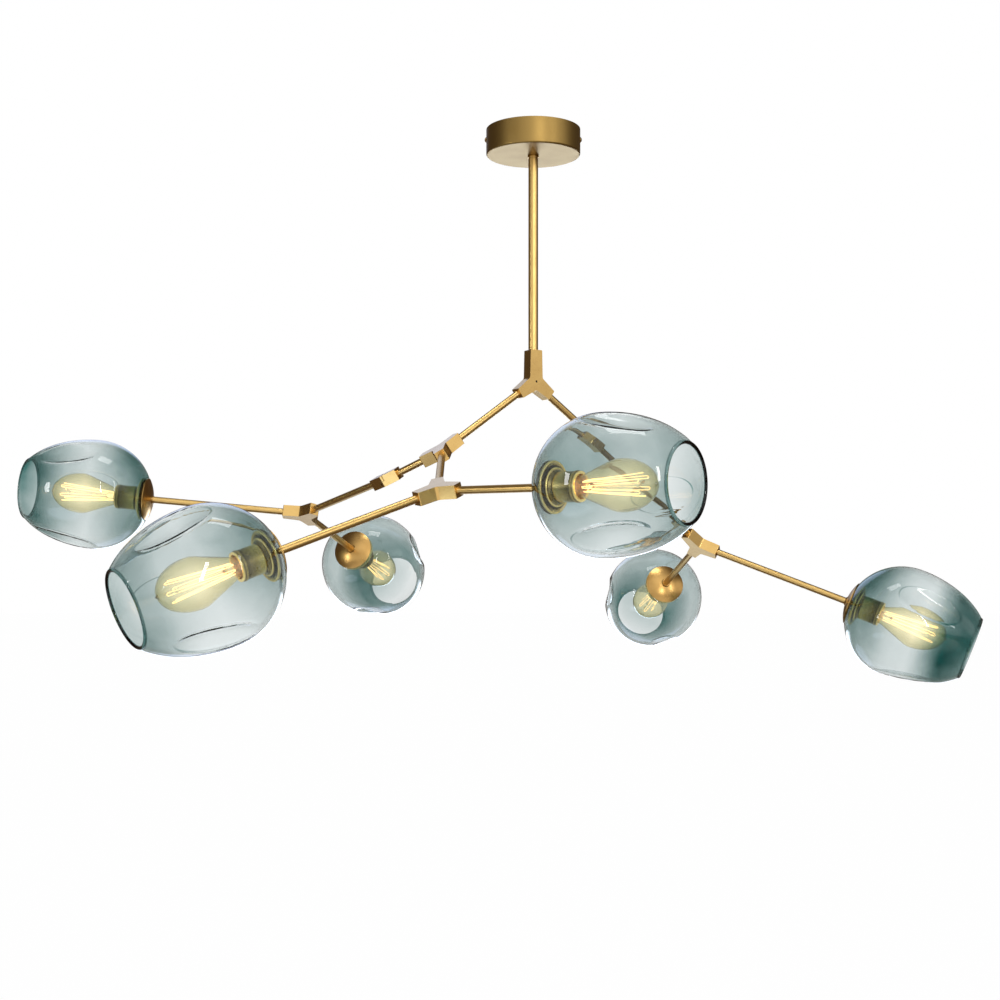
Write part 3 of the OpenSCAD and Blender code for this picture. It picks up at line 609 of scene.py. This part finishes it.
# each lamp's glass colour includes how much its lower side is painted lighter, a painted
# reflection
lamps = {  # arm's hub joint, partner lamp, side of the fork, turn of the dents, glass colour
    "far_left": {"joint": "far_left_turn", "partner": "back_left", "side": 1, "dents": 32,
                 "smoke": 1.15, "mouthSmoke": 0.98, "paintedReflectionBelow": 0.3},
    "back_left": {"joint": "far_left_turn", "partner": "far_left", "side": -1, "dents": 154,
                  "smoke": 0.75, "mouthSmoke": 1.7, "paintedReflectionBelow": -0.2},
    "front_left": {"joint": "front_turn", "partner": "front_mid", "side": 1, "dents": -104,
                   "smoke": 0.95, "mouthSmoke": 0.68, "paintedReflectionBelow": 1.0},
    "front_mid": {"joint": "front_turn", "partner": "front_left", "side": -1, "dents": -88,
                  "smoke": 0.95, "mouthSmoke": 0.72, "paintedReflectionBelow": 0.75},
    "far_right": {"joint": "right_turn", "partner": "back_right", "side": 1, "dents": -6,
                  "smoke": 1.15, "mouthSmoke": 1.45, "paintedReflectionBelow": 0.25},
    "back_right": {"joint": "right_turn", "partner": "far_right", "side": -1, "dents": 163,
                   "smoke": 0.72, "mouthSmoke": 1.35, "paintedReflectionBelow": 0.0},
}
joints = {joint["name"]: joint for joint in frame["joints"]}


def boxMiddle(node):
    low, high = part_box(node)
    return (low + high) / 2


def placeLamp(name):
    lamp = lamps[name]
    hub = Vector(joints[lamp["joint"]]["pos_m"])
    arm = boxMiddle("arm_" + name) - hub
    partner = boxMiddle("arm_" + lamp["partner"]) - hub
    length = 2 * arm.length - hubSeat - tubeInHolder
    z = arm.normalized()
    y = (partner.cross(arm) * lamp["side"]).normalized()
    x = y.cross(z)
    turn = Matrix((x, y, z)).transposed().to_4x4()
    return Matrix.Translation(hub + z * length) @ turn


for name, lamp in lamps.items():
    lamp["place"] = placeLamp(name)
    lamp["body"] = joints[lamp["joint"]]["child"]
print("lamps:", ", ".join(lamps))

shadeShape = {
    "radius": 0.0775,
    "length": 0.170,
    "mouth": 0.0415,
    "neck": 0.030,
    "neckOutside": 0.026,  # where the flat of the neck begins, outside and inside
    "neckInside": 0.0265,
    "hole": 0.021,
    "holeEdge": 0.0004,
    "wall": 0.0025,
    "lip": 0.0021,  # half the thickness of the fire-polished rim
    "lipSweep": 1.9,  # radians to each side of its crest
    "lipSteps": 11,
    "dentAcross": 0.032,
    "dentAlong": 0.250,
    "dentDepth": 0.010,
    "dentHeight": 0.104,
    "dentBlend": 0.0016,
    "dentCount": 3,
    "marches": 60,  # steps towards a dent, the longest step, and where it is missed
    "longestMarch": 0.05,
    "missed": 0.12,
    "noDent": 1.0,
    "smokeAt": (0.0, 0.15, 0.4, 0.58, 0.82, 0.96, 0.98),  # share of the length, from the neck
    "smoke": (1.0, 0.82, 0.2, 0.1, 0.78, 1.18, 1.22),  # how deep the glass is coloured there
    "mouthFrom": (0.45, 0.8),  # where the smoke at the mouth begins and is full
    # painted light: the lower side of the glass is coloured lighter, a painted reflection, and the
    # upper side deeper, painted shade
    "sideAt": (0, 0.3, 0.65, 0.85),  # how far the upper and lower sides differ there
    "side": (0.3, 1, 1, 0),
    # painted shade at the rim: how deep it is and the band it fills
    "lipPaintedShade": 1.3,
    "lipBand": 0.0022,
    "paintedShadeAbove": 0.25,
    "around": 180,
    "along": 54,
}


def shadeCurve(inset):
    s = shadeShape
    middle = math.sqrt(s["radius"] ** 2 - s["neck"] ** 2)
    front = (s["length"] - middle) / math.sqrt(1 - (s["mouth"] / s["radius"]) ** 2)
    return middle, s["radius"] - inset, front - inset


def shadeWall(inset, extra, last):
    # one side of the glass from the flat neck to the mouth, as (radius, height, dent growth)
    middle, b, a = shadeCurve(inset)
    s = shadeShape
    start = math.asin((inset - middle) / b)
    end = math.acos(min(1, (last - middle) / a))
    rows = [(b * math.cos(t), middle + b * math.sin(t), extra)
            for t in np.linspace(start, 0, s["along"] // 2)]
    rows += [(b * math.sin(t), middle + a * math.cos(t), extra)
             for t in np.linspace(math.pi / 2, end, s["along"])[1:]]
    return rows


def shadeRows():
    s = shadeShape
    wall, hole, edge = s["wall"], s["hole"], s["holeEdge"]
    last = s["length"] - s["lip"]
    outer = shadeWall(0, 0, last)
    inner = shadeWall(wall, wall, last)
    neckOuter = [(hole + edge, 0.0, 0), (s["neckOutside"], 0.0, 0)]
    neckInner = [(s["neckInside"], wall, wall), (hole + edge, wall, wall)]
    bore = [(hole, wall - edge, wall), (hole, edge, 0)]
    r = (outer[-1][0] + inner[-1][0]) / 2
    lip = [(r + s["lip"] * math.sin(t), last + s["lip"] * math.cos(t), wall / 2)
           for t in np.linspace(s["lipSweep"], -s["lipSweep"], s["lipSteps"])]
    return neckOuter + outer + lip + list(reversed(inner)) + neckInner + bore


def dentReach(angles, heights, growth, turn):
    # how far out from the axis the glass may reach before it meets the form that presses a dent
    s = shadeShape
    middle, b, a = shadeCurve(0)
    r = b * math.sqrt(1 - ((s["dentHeight"] - middle) / a) ** 2)
    out = Vector((r / b ** 2, (s["dentHeight"] - middle) / a ** 2)).normalized()
    centre = Vector((r, s["dentHeight"])) + out * (s["dentAlong"] - s["dentDepth"])
    reach = np.full(angles.shape, s["noDent"])
    for i in range(s["dentCount"]):
        turned = angles - math.radians(turn + 360 * i / s["dentCount"])
        distance = np.zeros(angles.shape)
        for _ in range(s["marches"]):
            x, y = distance * np.cos(turned), distance * np.sin(turned)
            ring = np.hypot(x - centre.x, heights - centre.y) - (s["dentAlong"] - s["dentAcross"])
            gap = np.hypot(ring, y) - s["dentAcross"] - growth
            distance = distance + np.clip(gap, 0, s["longestMarch"])
        distance[distance > s["missed"]] = s["noDent"]
        reach = np.minimum(reach, distance)
    return reach


def softLower(a, b, blend):
    h = np.clip(0.5 + 0.5 * (b - a) / blend, 0, 1)
    return b * (1 - h) + a * h - blend * h * (1 - h)


def makeShade(name):
    s, lamp = shadeShape, lamps[name]
    steps, place = s["around"], lamp["place"]
    rows = np.array(shadeRows())
    angles = np.arange(steps) * 2 * math.pi / steps
    grid, heights = np.meshgrid(angles, rows[:, 1])
    radii = np.repeat(rows[:, :1], steps, 1)
    growth = np.repeat(rows[:, 2:], steps, 1)
    reach = dentReach(grid, heights, growth, lamp["dents"])
    # the signed distance to where a dent begins, which places the painted shade line
    crease = np.clip((radii - reach) / creaseShade["reach"], -1, 1)
    crease[rows[:, 0] <= s["neck"]] = -1
    pressed = softLower(radii, reach, s["dentBlend"])
    radii = np.where(rows[:, :1] > s["neck"], pressed, radii)
    verts = np.stack([radii * np.cos(grid), radii * np.sin(grid), heights], 2).reshape(-1, 3)
    rings = [list(range(i * steps, (i + 1) * steps)) for i in range(len(rows))]
    faces = faceOutwards(verts, joinRings(rings, steps, True))
    verts = [place @ Vector(v) for v in verts]
    piece = makePiece("glass_" + name, verts, faces, "smokeGlass", lamp["body"],
                      ["shade_" + name], smoothAngle=60)
    along = rows[:, 1] / s["length"]
    smoke = np.repeat(np.interp(along, s["smokeAt"], s["smoke"])[:, None], steps, 1)
    smoke *= lamp["smoke"] * np.interp(along, s["mouthFrom"], (1, lamp["mouthSmoke"]))[:, None]
    # painted light: lighter on the lower side of the glass, a painted reflection, and deeper on
    # the upper side, painted shade
    up = place[2][0] * np.cos(angles) + place[2][1] * np.sin(angles)
    weight = np.where(up < 0, lamp["paintedReflectionBelow"], s["paintedShadeAbove"]) * up
    smoke *= 1 + weight[None, :] * np.interp(along, s["sideAt"], s["side"])[:, None]
    # painted shade: the rim band is coloured deepest, for the dark look of the glass rim
    smoke[rows[:, 1] > s["length"] - s["lipBand"]] = s["lipPaintedShade"]
    smoke = np.minimum(smoke, s["lipPaintedShade"])
    for label, values in (("smoke", smoke), ("crease", crease)):
        layer = piece.data.attributes.new(label, "FLOAT", "POINT")
        layer.data.foreach_set("value", values.reshape(-1).astype(np.float32))


for name in lamps:
    makeShade(name)
print("shades:", len(lamps))

capShape = {
    "radius": 0.02975, "height": 0.009, "edge": 0.0015, "wall": 0.0012, "bore": 0.00475,
    "boss": 0.010, "bossEnd": 0.001, "collar": 0.0012, "collarFoot": 0.0016,
    "collarFootHeight": 0.0004, "domeFrom": 0.0022, "rimGap": 0.0002, "rimRound": 0.0005,
    "arcSteps": 14,
}


def makeCap(name):
    c, lamp = capShape, lamps[name]
    dome = c["height"] - c["edge"]
    ball = (c["radius"] ** 2 + dome ** 2) / (2 * dome)
    middle = ball - c["height"]
    inside = ball - c["wall"]
    bore, height, gap, rounded = c["bore"], c["height"], c["rimGap"], c["rimRound"]
    innerRadius = c["radius"] - c["wall"]

    def arc(radius, first, last):
        return [(radius * math.cos(t), middle + radius * math.sin(t))
                for t in np.linspace(-math.acos(first / radius), -math.acos(last / radius),
                                     c["arcSteps"])]

    collar = [(bore, -c["bossEnd"]), (bore, -height - c["collar"]),
              (bore + c["collar"], -height - c["collar"]),
              (bore + c["collarFoot"], -height - c["collarFootHeight"])]
    outer = arc(ball, bore + c["domeFrom"], c["radius"])
    rim = roundOutline([(*outer[-1], 0), (c["radius"], -gap, rounded),
                        (innerRadius, -gap, rounded), (innerRadius, -c["edge"], 0)],
                       steps=3)[1:]
    inner = arc(inside, innerRadius, c["boss"])
    outline = collar + outer + rim + inner + [(c["boss"], -c["bossEnd"])]
    lathe("cap_dome_" + name, outline, lamp, "capBrass", ["cap_" + name], steps=96,
          closed=True, smoothAngle=35)


holderShape = {
    "wire": 0.003, "boss": 0.020, "bossBack": -0.001, "glass": 0.0025, "seat": 0.026,
    "flange": 0.0295, "flangeTop": 0.008, "roll": 0.00175, "rollFrom": -70, "rollTo": 130,
    "rollSteps": 13, "step": 0.022, "stepFoot": 0.007, "stepTop": 0.011, "barrel": 0.01675,
    # the next value is the reach of the painted shade in the grooves
    "floor": 0.0125, "mouth": 0.0425, "bore": 0.01335, "grooveShade": 0.0022,
    "front": [  # see cornersOf
        ("step", 0.001, "stepFoot", 0, 0.0006),
        ("step", 0, "stepFoot", 0.001, 0.0008),
        ("step", 0, "stepTop", -0.001, 0.0008),
        ("step", -0.001, "stepTop", 0, 0.0008),
        ("barrel", 0.0022, "stepTop", 0, 0.0005),
        ("barrel", -0.0004, "floor", 0.0012, 0.0006),
        ("barrel", 0, "floor", 0.003, 0.001),
        ("barrel", 0, "mouth", -0.006, 0.0003),
        ("barrel", 0.0007, "mouth", -0.0055, 0.0003),
        ("barrel", 0.0007, "mouth", -0.0035, 0.0003),
        ("barrel", 0, "mouth", -0.003, 0.0003),
        ("barrel", 0, "mouth", 0, 0.0008),
        ("bore", 0, "mouth", 0, 0.0008),
        ("bore", 0, "floor", 0, 0.0003),
        ("wire", 0, "floor", 0, 0),
    ],
}


def makeHolder(name):
    h = holderShape
    roll = h["roll"]
    start = [(h["wire"], h["bossBack"]), (h["boss"], h["bossBack"]), (h["boss"], h["glass"]),
             (h["seat"], h["glass"])]
    flange = [(h["flange"] - roll + roll * math.cos(t), h["flangeTop"] - roll + roll * math.sin(t))
              for t in np.radians(np.linspace(h["rollFrom"], h["rollTo"], h["rollSteps"]))]
    front = roundOutline([(*flange[-1], 0)] + cornersOf(h, "front"), steps=4)[1:]
    lathe("lamp_holder_" + name, start + flange + front, lamps[name], "darkBrass",
          ["holder_" + name], steps=96, closed=True, smoothAngle=35, grooveShade=h["grooveShade"])


for name in lamps:
    makeCap(name)
    makeHolder(name)
print("caps and holders:", 2 * len(lamps))

bulbShape = {
    "radius": 0.0285, "middle": 0.0925, "dome": 0.041, "domeTo": 86, "sideSteps": 12,
    "domeSteps": 26, "neck": 0.012, "neckFrom": 0.0345, "shoulder": 0.044, "shoulderRound": 0.02,
    "wall": 0.0008, "tip": 0.1335,
    "pip": ((0.0016, 0.0006), (0.0010, 0.0015), (0, 0.0018)),  # radius, height over the tip
}


def bulbSide(inset):
    b = bulbShape
    radius, neck, dome = b["radius"] - inset, b["neck"] - inset, b["dome"] - inset
    middle, start = b["middle"], b["shoulder"]
    gap = middle - start
    slope = math.asin(radius / math.hypot(neck, gap)) - math.atan(neck / gap)
    rows = [(radius * math.cos(t), middle + radius * math.sin(t))
            for t in np.linspace(-slope, 0, b["sideSteps"])]
    rows += [(radius * math.cos(t), middle + dome * math.sin(t))
             for t in np.linspace(0, math.radians(b["domeTo"]), b["domeSteps"])[1:]]
    return roundOutline([(neck, b["neckFrom"], 0), (neck, start, b["shoulderRound"]),
                         (*rows[0], 0)], steps=6)[:-1] + rows


def makeBulb(name):
    tip, wall = bulbShape["tip"], bulbShape["wall"]
    pip = [(radius, tip + height) for radius, height in bulbShape["pip"]]
    inner = [(0, tip - wall)] + list(reversed(bulbSide(wall)))
    lathe("bulb_glass_" + name, bulbSide(0) + pip + inner, lamps[name], "amberGlass",
          ["bulb_" + name], closed=True, smoothAngle=60)


baseShape = {
    "axis": 0, "contact": 0.0045, "shell": 0.0132, "core": 0.0121, "neck": 0.012,
    "seat": 0.0125, "end": 0.0385,
    "turns": 4.5, "pitch": 0.0036, "ridge": 0.00099, "steps": 40, "sides": 10,
    "threadFrom": 0.0187,
    "outline": [  # see cornersOf
        ("axis", 0, "seat", 0, 0),
        ("contact", 0, "seat", 0, 0.0003),
        ("contact", 0, "seat", 0.001, 0.0003),
        ("core", -0.001, "seat", 0.0035, 0.001),
        ("core", 0, "seat", 0.005, 0.001),
        ("core", 0, "end", -0.003, 0.001),
        ("shell", -0.0003, "end", -0.002, 0.0003),
        ("shell", -0.0003, "end", 0, 0.0003),
        ("neck", 0, "end", 0, 0),
        ("neck", -0.0004, "end", -0.003, 0),
        ("neck", -0.0004, "seat", 0.006, 0.0005),
        ("axis", 0, "seat", 0.006, 0),
    ],
}


def makeBase(name, replaced, tree):
    b, lamp = baseShape, lamps[name]
    lathe("screw_base_" + name, roundOutline(cornersOf(b, "outline"), steps=4), lamp,
          "copperShell", replaced, steps=64, smoothAngle=50)
    mesh = runTree(tree, {"Turns": b["turns"], "Radius": b["core"], "Pitch": b["pitch"],
                          "Ridge": b["ridge"], "Steps": b["steps"],
                          "Material": materials["copperShell"]}, "thread_" + name)
    mesh.transform(lamp["place"] @ Matrix.Translation((0, 0, b["threadFrom"])))
    finishPiece(addObject("thread_" + name, mesh), "copperShell", lamp["body"],
                smoothAngle=60)


filamentShape = {"loops": 6, "radius": 0.0125, "bottom": 0.047, "top": 0.119, "bend": 0.0022,
                 "bendSteps": 5, "wire": 0.00042, "wireSides": 8, "taper": 0.5,
                 "corners": 4.0, "upperFrom": 1.5}


def makeFilamentTree():
    # a wire round a circle, with two low corners and two high ones to a loop
    tree, given, result = newGeometryTree("hairpinFilament",
        {"Loops": "Int", "Radius": "Float", "Height": "Float", "Bend": "Float", "Wire": "Float",
         "Taper": "Float", "Material": "Material"})
    given, f = given.outputs, filamentShape
    corners = mathNode(tree, "MULTIPLY", given["Loops"], f["corners"])
    circle = addNode(tree, "GeometryNodeCurvePrimitiveCircle", {"Resolution": corners,
                     "Radius": given["Radius"]})
    index = addNode(tree, "GeometryNodeInputIndex").outputs[0]
    quarter = mathNode(tree, "MODULO", mathNode(tree, "ADD", index, 1.0), f["corners"])
    upper = mathNode(tree, "GREATER_THAN", quarter, f["upperFrom"])
    lift = addNode(tree, "ShaderNodeCombineXYZ", {"Z": mathNode(tree, "MULTIPLY", upper,
                   given["Height"])})
    draw = mathNode(tree, "MULTIPLY", mathNode(tree, "SUBTRACT", given["Taper"], 1.0),
                    mathNode(tree, "SUBTRACT", 1.0, upper))
    spot = addNode(tree, "GeometryNodeInputPosition").outputs[0]
    inwards = addNode(tree, "ShaderNodeVectorMath", {0: spot, "Scale": draw}, operation="SCALE")
    shift = addNode(tree, "ShaderNodeVectorMath", {0: inwards.outputs[0], 1: lift.outputs[0]},
                    operation="ADD")
    moved = addNode(tree, "GeometryNodeSetPosition", {"Geometry": circle.outputs["Curve"],
                    "Offset": shift.outputs[0]})
    bent = addNode(tree, "GeometryNodeFilletCurve", {"Curve": moved.outputs[0], "Radius":
                   given["Bend"], "Count": f["bendSteps"]}, mode="POLY")
    wire = sweep(tree, bent.outputs[0], f["wireSides"], given["Wire"])
    return closeTree(tree, given, result, wire)


def makeThreadTree():
    # a rounded ridge wound round the bulb's shell, sunk in it to half its height
    tree, given, result = newGeometryTree("screwThread",
        {"Turns": "Float", "Radius": "Float", "Pitch": "Float", "Ridge": "Float", "Steps": "Int",
         "Material": "Material"})
    given = given.outputs
    height = mathNode(tree, "MULTIPLY", given["Turns"], given["Pitch"])
    path = addNode(tree, "GeometryNodeCurveSpiral", {"Resolution": given["Steps"],
                   "Rotations": given["Turns"], "Start Radius": given["Radius"],
                   "End Radius": given["Radius"], "Height": height})
    ridge = sweep(tree, path.outputs[0], baseShape["sides"], given["Ridge"], True)
    return closeTree(tree, given, result, ridge)


def makeFilament(name, tree):
    f, lamp = filamentShape, lamps[name]
    mesh = runTree(tree, {"Loops": f["loops"], "Radius": f["radius"],
                          "Height": f["top"] - f["bottom"], "Bend": f["bend"], "Wire": f["wire"],
                          "Taper": f["taper"], "Material": materials["hotFilament"]},
                   "filament_" + name)
    mesh.transform(lamp["place"] @ Matrix.Translation((0, 0, f["bottom"])))
    finishPiece(addObject("filament_" + name, mesh), "hotFilament", lamp["body"],
                smoothAngle=60)


stemShape = {
    "axis": 0, "flare": 0.0105, "foot": 0.030, "waist": 0.0045, "waistHeight": 0.044,
    "head": 0.058, "rod": 0.0018, "tip": 0.112, "button": 0.0034,
    "outline": [  # see cornersOf
        ("axis", 0, "foot", 0, 0),
        ("flare", 0, "foot", 0, 0.001),
        ("waist", 0, "waistHeight", 0, 0.01),
        ("waist", 0, "head", -0.004, 0.003),
        ("rod", 0, "head", 0, 0.003),
        ("rod", 0, "tip", -0.004, 0.002),
        ("button", 0, "tip", -0.001, 0.001),
        ("button", 0, "tip", 0.001, 0.001),
        ("rod", 0, "tip", 0.002, 0.001),
        ("axis", 0, "tip", 0.002, 0),
    ],
}


def makeGlassStem(name):
    outline = roundOutline(cornersOf(stemShape, "outline"), steps=5)
    lathe("glass_stem_" + name, outline, lamps[name], "clearGlass", steps=24,
          smoothAngle=60)


filamentTree = makeFilamentTree()
threadTree = makeThreadTree()
baseNodes = {"far_left": ["bulb_bases_left"], "front_left": ["bulb_bases_front"],
             "far_right": ["bulb_bases_right"]}
for name in lamps:
    makeBulb(name)
    makeBase(name, baseNodes.get(name, ()), threadTree)
    makeFilament(name, filamentTree)
    makeGlassStem(name)
print("bulbs:", len(lamps))

finishOf = {"crossbar": "zincSteel", "terminal_block": "blockPlastic", "earth_screw": "zincSteel",
            "stem_nipple": "zincSteel", "nipple_nuts": "zincSteel", "hub_top_screw": "blackSteel",
            "canopy": "canopyBrass"}
softEdge = {"width": 0.0006, "segments": 2, "angle": 35, "weight": 100, "flat": 0.6}


def bodyOf(node):
    return frame["nodes"][node]["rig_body"]


tubeShape = {"sides": 40, "step": 0.012, "slack": 0.00006}  # slack clears the bores in the hubs


def makeTubeTree():
    # a drawn tube with its wall, open at both ends, along a straight path
    tree, given, result = newGeometryTree("drawnTube",
        {"Start": "Vector", "End": "Vector", "Radius": "Float", "Wall": "Float", "Sides": "Int",
         "Step": "Float", "Material": "Material"})
    given = given.outputs
    line = addNode(tree, "GeometryNodeCurvePrimitiveLine", {"Start": given["Start"],
                   "End": given["End"]})
    path = addNode(tree, "GeometryNodeResampleCurve", {"Curve": line.outputs[0],
                   "Length": given["Step"]}, mode="LENGTH")
    skin = sweep(tree, path.outputs[0], given["Sides"], given["Radius"])
    bore = addNode(tree, "GeometryNodeExtrudeMesh", {"Mesh": skin, "Individual": False,
                   "Offset Scale": mathNode(tree, "MULTIPLY", given["Wall"], -1.0)}, mode="FACES")
    turned = addNode(tree, "GeometryNodeFlipFaces", {"Mesh": bore.outputs["Mesh"]})
    both = addNode(tree, "GeometryNodeJoinGeometry", {0: skin})
    tree.links.new(turned.outputs[0], both.inputs[0])
    closed = addNode(tree, "GeometryNodeMergeByDistance", {"Geometry": both.outputs[0],
                     "Distance": tiny})
    return closeTree(tree, given, result, closed.outputs[0])


def measureTube(node):
    # its two ends, radius and wall, from the CAD piece
    mesh = frame["nodes"][node].data
    points = np.empty(len(mesh.vertices) * 3)
    mesh.vertices.foreach_get("co", points)
    points = points.reshape(-1, 3)
    low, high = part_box(node)
    middle = np.array((low + high) / 2)
    axis = np.linalg.svd(points - middle, full_matrices=False)[2][0]
    along = (points - middle) @ axis
    away = np.linalg.norm(points - middle - along[:, None] * axis, axis=1)
    slack = tubeShape["slack"]
    return (middle + axis * (along.min() + slack), middle + axis * (along.max() - slack),
            away.max() - slack, away.max() - away.min() - slack)


def makeTube(node, tree):
    start, end, radius, wall = measureTube(node)
    mesh = runTree(tree, {"Start": start, "End": end, "Radius": radius, "Wall": wall,
                          "Sides": tubeShape["sides"], "Step": tubeShape["step"],
                          "Material": materials["tubeBrass"]}, "drawn_" + node)
    finishPiece(addObject("drawn_" + node, mesh), "tubeBrass", bodyOf(node), [node])


def softenNode(node):
    # a merged copy of the CAD piece, with its sharp edges broken
    mesh = frame["nodes"][node].data.copy()
    edit = bmesh.new()
    edit.from_mesh(mesh)
    bmesh.ops.remove_doubles(edit, verts=edit.verts, dist=tiny)
    bmesh.ops.dissolve_limit(edit, angle_limit=math.radians(softEdge["flat"]), verts=edit.verts,
                             edges=edit.edges)
    edit.to_mesh(mesh)
    edit.free()
    mesh.polygons.foreach_set("use_smooth", [True] * len(mesh.polygons))
    piece = addObject("soft_" + node, mesh)
    bevel = piece.modifiers.new("edges", "BEVEL")
    bevel.width = softEdge["width"]
    bevel.segments = softEdge["segments"]
    bevel.limit_method = "ANGLE"
    bevel.angle_limit = math.radians(softEdge["angle"])
    bevel.use_clamp_overlap = True
    weigh = piece.modifiers.new("normals", "WEIGHTED_NORMAL")
    weigh.weight = softEdge["weight"]
    shown = piece.evaluated_get(bpy.context.evaluated_depsgraph_get())
    piece.data = bpy.data.meshes.new_from_object(shown)
    piece.modifiers.clear()
    finish = finishOf.get(node, "satinBrass")
    finishPiece(piece, finish, bodyOf(node), [node], smoothAngle=None)


hidden = ["crossbar", "terminal_block", "earth_screw", "stem_nipple", "nipple_nuts",
          "hub_top_screw", "bulb_bases_left", "bulb_bases_front", "bulb_bases_right"]
shownNodes = [n for n, o in frame["nodes"].items() if not o.hide_render]
tubes = [n for n in shownNodes if n == "stem_tube" or n.startswith(("tube_", "arm_"))]
tubeTree = makeTubeTree()
for node in tubes:
    makeTube(node, tubeTree)
softened = [n for n in shownNodes if n not in hidden and n not in tubes]
for node in softened:
    softenNode(node)
for node in shownNodes:
    if node in softened or node in tubes:
        continue
    finish = finishOf.get(node, "copperShell")
    mesh = frame["nodes"][node].data
    mesh.materials.clear()
    mesh.materials.append(materials[finish])
print("metal:", len(shownNodes), "nodes,", len(softened), "with softened edges")
